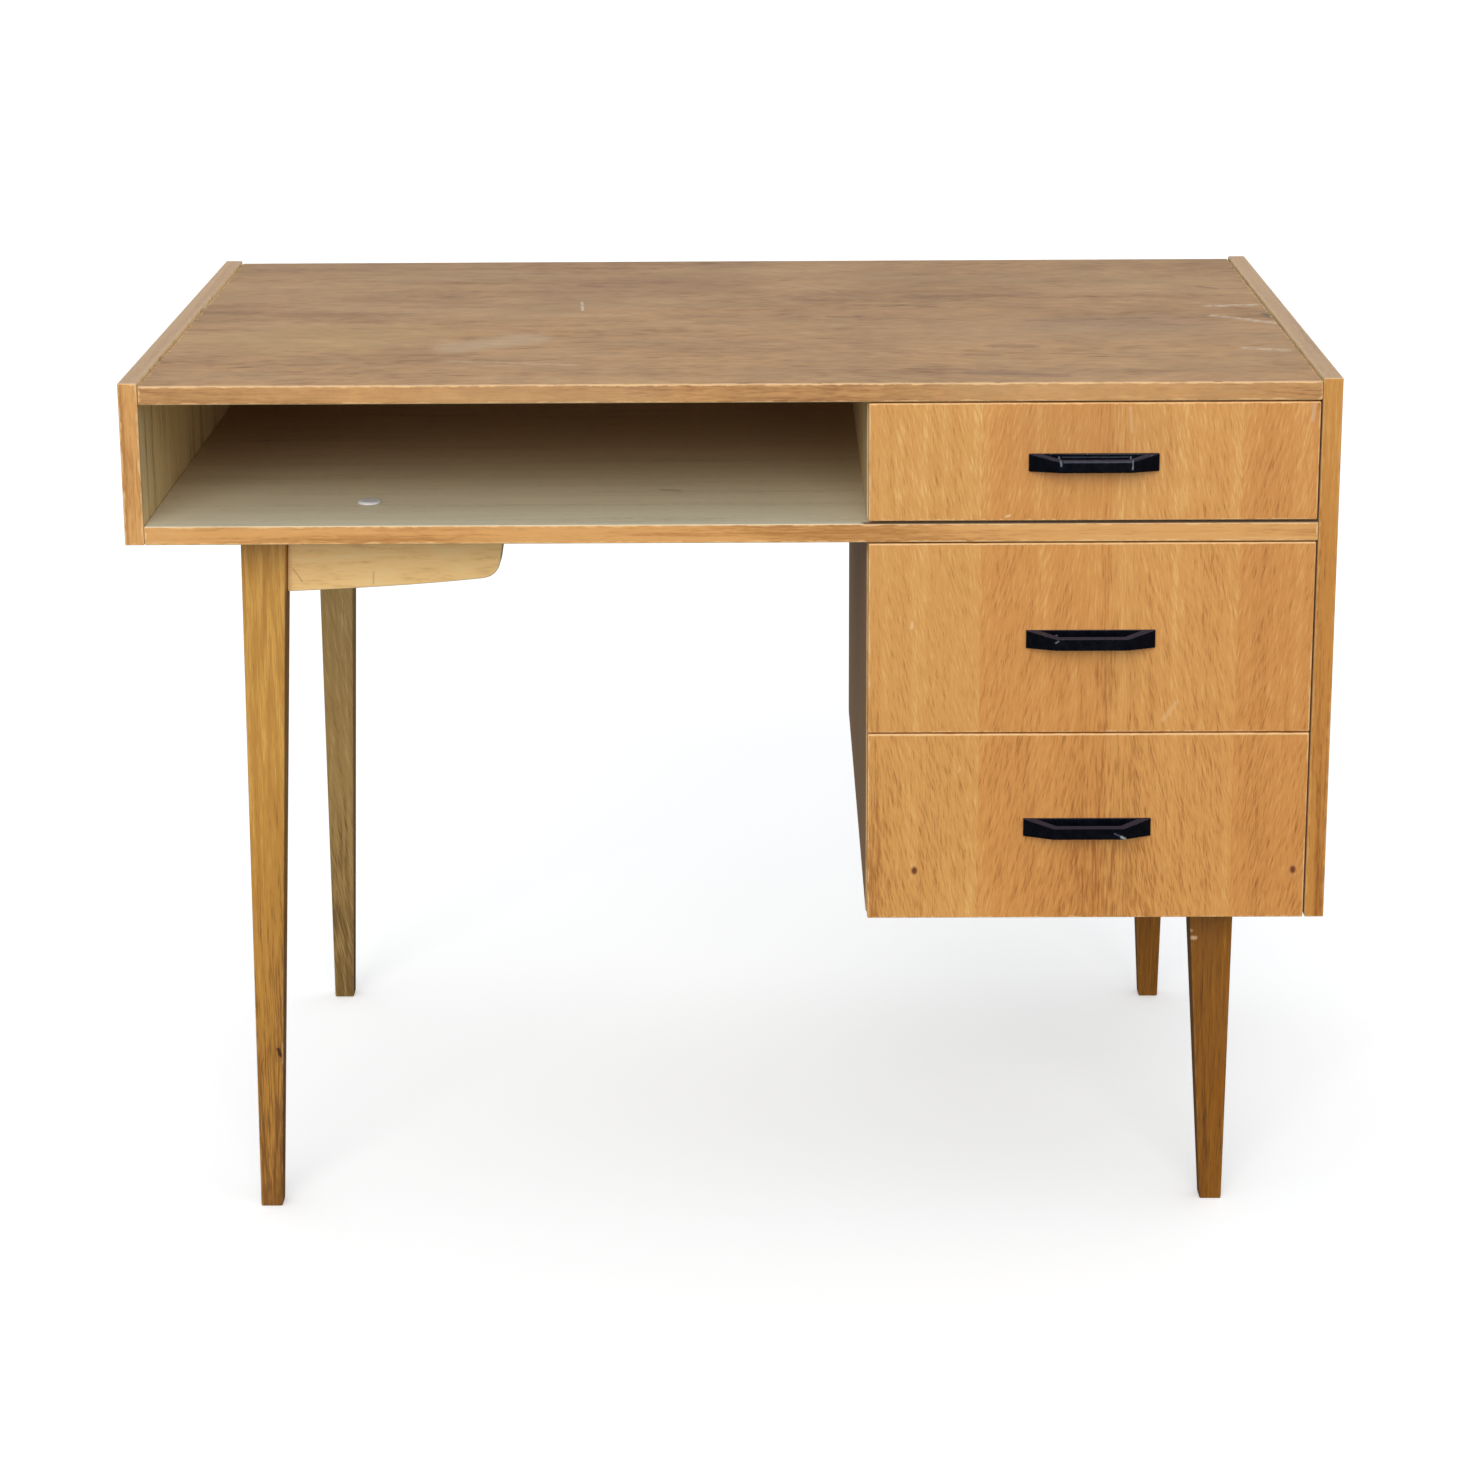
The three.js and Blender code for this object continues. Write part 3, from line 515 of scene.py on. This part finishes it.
# ---------- finer copies of the CAD nodes ----------
def cad_mesh(node):
    bm = bmesh.new()
    bm.from_mesh(frame["nodes"][node].data)
    bmesh.ops.remove_doubles(bm, verts=bm.verts, dist=0.01 * MM)
    bmesh.ops.dissolve_limit(bm, angle_limit=math.radians(1), verts=bm.verts, edges=bm.edges)
    bm.normal_update()
    return bm


def ease(bm, width, shortest, segments=3):
    """Rounds every arris that is longer than shortest. The new faces are tagged."""
    arrises = []
    for edge in bm.edges:
        if len(edge.link_faces) == 2 and edge.calc_length() > shortest * MM:
            if edge.calc_face_angle_signed(0.0) > SHARP:
                arrises.append(edge)
    made = bmesh.ops.bevel(bm, geom=arrises, offset=width * MM, segments=segments, profile=0.5,
                           affect="EDGES", clamp_overlap=True)
    for face in bm.faces:
        face.tag = False
    for face in made["faces"]:
        face.tag = True
    bm.normal_update()


def key_of(normal):
    """The box side that a face looks towards, as in "+z"."""
    axis = max(range(3), key=lambda i: (round(abs(normal[i]), 3), i))
    return ("-", "+")[normal[axis] > 0] + "xyz"[axis]


def section_of(bm):
    """Centre and half size of the piece at each height, for boards and tapered legs."""
    lowest = min(v.co.z for v in bm.verts)
    highest = max(v.co.z for v in bm.verts)
    ends = []
    for level in (lowest, highest):
        ring = [v.co for v in bm.verts if abs(v.co.z - level) < 0.1 * MM]
        low = Vector(min(c[i] for c in ring) for i in range(3))
        high = Vector(max(c[i] for c in ring) for i in range(3))
        ends.append((low, high))

    def at(z):
        share = (z - lowest) / (highest - lowest)
        low = ends[0][0].lerp(ends[1][0], share)
        high = ends[0][1].lerp(ends[1][1], share)
        low.z, high.z = lowest, highest
        return (low + high) / 2, (high - low) / 2
    return at


def dress(node, sides, *, body, ease_width=1.1, shortest=4.0, segments=3, boxed=True, solid=None,
          offset=(0.0, 0.0, 0.0)):
    """Makes the finer copy of a CAD node. sides maps box sides to (finish, grain axis); "all" is the
    rest. solid gives one grain axis for a piece of solid wood."""
    bm = cad_mesh(node)
    section = section_of(bm)
    ease(bm, ease_width, shortest, segments)
    grain = bm.loops.layers.float_vector.new("grain")
    span = bm.loops.layers.float_vector.new("span")
    half = bm.loops.layers.float_vector.new("half")
    names = []
    for face in bm.faces:
        key = key_of(face.normal)
        finish, along = sides.get(key) or sides["all"]
        if finish not in names:
            names.append(finish)
        face.material_index = names.index(finish)
        face.smooth = True
        out = "xyz".index(key[1])
        long = "xyz".index(solid or along)
        if long == out and not solid:
            long = (out + 1) % 3
        wide = 3 - out - long
        if solid:
            out = 2 if long == 1 else 1
            wide = 3 - long - out
        for loop in face.loops:
            place = loop.vert.co
            centre, size = section(place.z)
            across = (wide, out, long)
            loop[grain] = [place[i] / MM + offset[n] for n, i in enumerate(across)]
            flat = [i for i in range(3) if i != "xyz".index(key[1])]
            if boxed:
                loop[span] = [*((place[i] - centre[i]) / MM for i in flat), 0.0]
                loop[half] = [*(size[i] / MM for i in flat), 0.0]
            else:
                loop[span] = (0.0, 0.0, 0.0)
                loop[half] = (0.0, 0.0, 0.0) if face.tag else (FAR, FAR, 0.0)
    mesh = bpy.data.meshes.new(node + "_fine")
    bm.to_mesh(mesh)
    bm.free()
    for finish in names:
        mesh.materials.append(finishes[finish])
    piece = bpy.data.objects.new(node + "_fine", mesh)
    bpy.context.scene.collection.objects.link(piece)
    normals = piece.modifiers.new("even_normals", "WEIGHTED_NORMAL")
    normals.keep_sharp = True
    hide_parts(node)
    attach(piece, body)
    return piece


def build_carcass():
    """The boards of the desk: top, sides, shelf, divider, pedestal and backs."""
    body = "carcass"
    dress("desk_top", {"+z": ("top", "x"), "-z": ("lining", "x"), "all": ("edge_top", "x")},
          body=body, ease_width=1.6)
    side = {"-z": ("edge", "y"), "+z": ("edge_faded", "y"), "-y": ("edge_amber", "z"),
            "+y": ("edge", "z")}
    dress("left_side_panel", dict(side, **{"-x": ("panel", "z"), "+x": ("lining_banded_painted_light", "z"),
                                           "-y": ("edge_pale", "z")}),
          body=body, offset=(120, 0, 0))
    dress("right_side_panel", dict(side, **{"+x": ("panel", "z"), "-x": ("lining", "z")}),
          body=body, offset=(400, 0, 0))
    dress("mid_board", {"+z": ("shelf", "x"), "-z": ("lining", "x"), "all": ("edge_pale", "x")},
          body=body)
    dress("divider_panel", {"all": ("lining", "z")}, body=body)
    dress("pedestal_left_panel", {"-x": ("panel_shaded", "z"), "+x": ("lining", "z"), "all": ("edge", "z")},
          body=body, offset=(260, 0, 0))
    dress("pedestal_bottom_panel", {"+z": ("lining", "x"), "-z": ("lining", "x"), "all": ("edge", "x")},
          body=body)
    for node in ("upper_back_panel", "pedestal_back_panel"):
        dress(node, {"all": ("ply", "x")}, body=body, ease_width=0.4)


def build_legs():
    """Four legs and the two braces of the long ones; the rear left leg and the right legs get darker copies
    of the leg finish as painted shade.
    """
    finish_of = {"front_left": "leg", "rear_left": "leg_olive_painted_shade", "front_right": "leg_dark_painted_shade",
                 "rear_right": "leg_dark_painted_shade"}
    for place, finish in finish_of.items():
        dress(place + "_leg", {"all": (finish, "z")}, body="carcass", ease_width=1.5,
              solid="z")
    for place in ("front_left", "rear_left"):
        dress(place + "_brace", {"all": ("brace", "x")}, body="carcass", ease_width=1.5,
              shortest=1.2, boxed=False, solid="x")


def build_drawers():
    """Three drawers with their handles, and the runners that they slide on."""
    for number, name in enumerate(("top", "middle", "bottom")):
        body = name + "_drawer"
        dress(body + "_front", {"-y": ("front", "z"), "+y": ("lining", "z"), "-z": ("edge", "x"),
                                "+z": ("edge", "x"), "all": ("edge", "z")},
              body=body, offset=(0, number * 1.5, 0))
        for side in ("left_side", "right_side"):
            dress(f"{body}_{side}", {"all": ("box", "y")}, body=body, ease_width=0.8)
        dress(body + "_back", {"all": ("box", "x")}, body=body, ease_width=0.8)
        dress(body + "_bottom", {"all": ("ply", "x")}, body=body, ease_width=0.3)
        dress(body + "_handle", {"all": ("lacquer", "x")}, body=body, ease_width=1.4,
              segments=4, shortest=1.0, boxed=False, solid="x")
        for side in ("left", "right"):
            dress(f"{name}_{side}_runner", {"all": ("box", "y")}, body="carcass",
                  ease_width=0.8)


def paint_small_nodes():
    """Bolts, screws, plates and caps keep their CAD shape and get their finish and eased edges."""
    for part in frame["record"]["subparts"]:
        node = frame["nodes"][part["node"]]
        if node.hide_render:
            continue
        finish = "cap" if part["material_slot"] == "white_plastic" else "steel"
        node.data.materials.clear()
        node.data.materials.append(finishes[finish])
        for polygon in node.data.polygons:
            polygon.use_smooth = True
        eased = node.modifiers.new("eased", "BEVEL")
        eased.width = SMALL_ARRIS * MM
        eased.segments = 2
        eased.limit_method = "ANGLE"
        eased.angle_limit = SHARP
        normals = node.modifiers.new("even_normals", "WEIGHTED_NORMAL")
        normals.keep_sharp = True


# ---------- room ----------
def add_floor():
    """A plain pale floor that leaves no colour on the desk."""
    g = Graph("pale_floor")
    cloud = g.add("TexNoise", {"Scale": 3.0, "Detail": 3.0}).outputs[0]
    colour = g.mix(cloud, srgb(248, 248, 247), srgb(252, 252, 251))
    g.settle(colour, 0.8, Emission_Color=srgb(255, 255, 255), Emission_Strength=FLOOR_GLOW)
    bm = bmesh.new()
    bmesh.ops.create_grid(bm, x_segments=2, y_segments=2, size=FLOOR_REACH)
    mesh = bpy.data.meshes.new("floor")
    bm.to_mesh(mesh)
    bm.free()
    mesh.materials.append(g.material)
    floor = bpy.data.objects.new("floor", mesh)
    bpy.context.scene.collection.objects.link(floor)
    floor.visible_diffuse = False
    floor.visible_glossy = False


def light_room():
    """Soft daylight from in front of the desk, in a room that is darker below."""
    world = bpy.data.worlds.new("room")
    world.use_nodes = True
    nodes, links = world.node_tree.nodes, world.node_tree.links
    place = nodes.new("ShaderNodeTexCoord")
    split = nodes.new("ShaderNodeSeparateXYZ")
    height = nodes.new("ShaderNodeMapRange")
    height.interpolation_type = "SMOOTHSTEP"
    height.inputs["From Min"].default_value, height.inputs["From Max"].default_value = ROOM_FADE
    blend = nodes.new("ShaderNodeMix")
    blend.data_type = "RGBA"
    blend.inputs[6].default_value = ROOM_BELOW
    blend.inputs[7].default_value = ROOM_ABOVE
    links.new(place.outputs["Generated"], split.inputs[0])
    links.new(split.outputs["Z"], height.inputs["Value"])
    links.new(height.outputs[0], blend.inputs[0])
    seen = nodes.new("ShaderNodeMix")
    seen.data_type = "RGBA"
    seen.inputs[7].default_value = ROOM_SEEN
    links.new(nodes.new("ShaderNodeLightPath").outputs["Is Camera Ray"], seen.inputs[0])
    links.new(blend.outputs[2], seen.inputs[6])
    links.new(seen.outputs[2], nodes["Background"].inputs["Color"])
    bpy.context.scene.world = world
    sun = bpy.data.lights.new("daylight", "SUN")
    sun.energy = SUN_POWER
    sun.angle = math.radians(SUN_SPREAD)
    sun.color = SUN_COLOUR
    lamp = bpy.data.objects.new("daylight", sun)
    lamp.rotation_mode = "QUATERNION"
    lamp.rotation_quaternion = (-Vector(SUN_FROM)).to_track_quat("-Z", "Y")
    bpy.context.scene.collection.objects.link(lamp)
    bpy.context.scene.view_settings.view_transform = "Standard"


def add_camera():
    """A camera placed by its tilt below the horizon, its turn and its roll."""
    down, turn, roll = (math.radians(a) for a in (CAMERA_DOWN, CAMERA_TURN, CAMERA_ROLL))
    forward = Vector((math.sin(turn) * math.cos(down), math.cos(turn) * math.cos(down), -math.sin(down)))
    right = Vector((math.cos(turn), -math.sin(turn), 0.0))
    up = right.cross(forward)
    side = math.cos(roll) * right + math.sin(roll) * up
    top = -math.sin(roll) * right + math.cos(roll) * up
    data = bpy.data.cameras.new("camera")
    data.lens = CAMERA_LENS
    data.sensor_width = 36.0
    data.shift_y = CAMERA_SHIFT
    camera = bpy.data.objects.new("camera", data)
    camera.matrix_world = (Matrix.Translation(CAMERA_PLACE)
                           @ Matrix((side, top, -forward)).transposed().to_4x4())
    bpy.context.scene.collection.objects.link(camera)
    bpy.context.scene.camera = camera


finishes = make_finishes()
add_camera()
add_floor()
light_room()
build_carcass()
build_legs()
build_drawers()
paint_small_nodes()
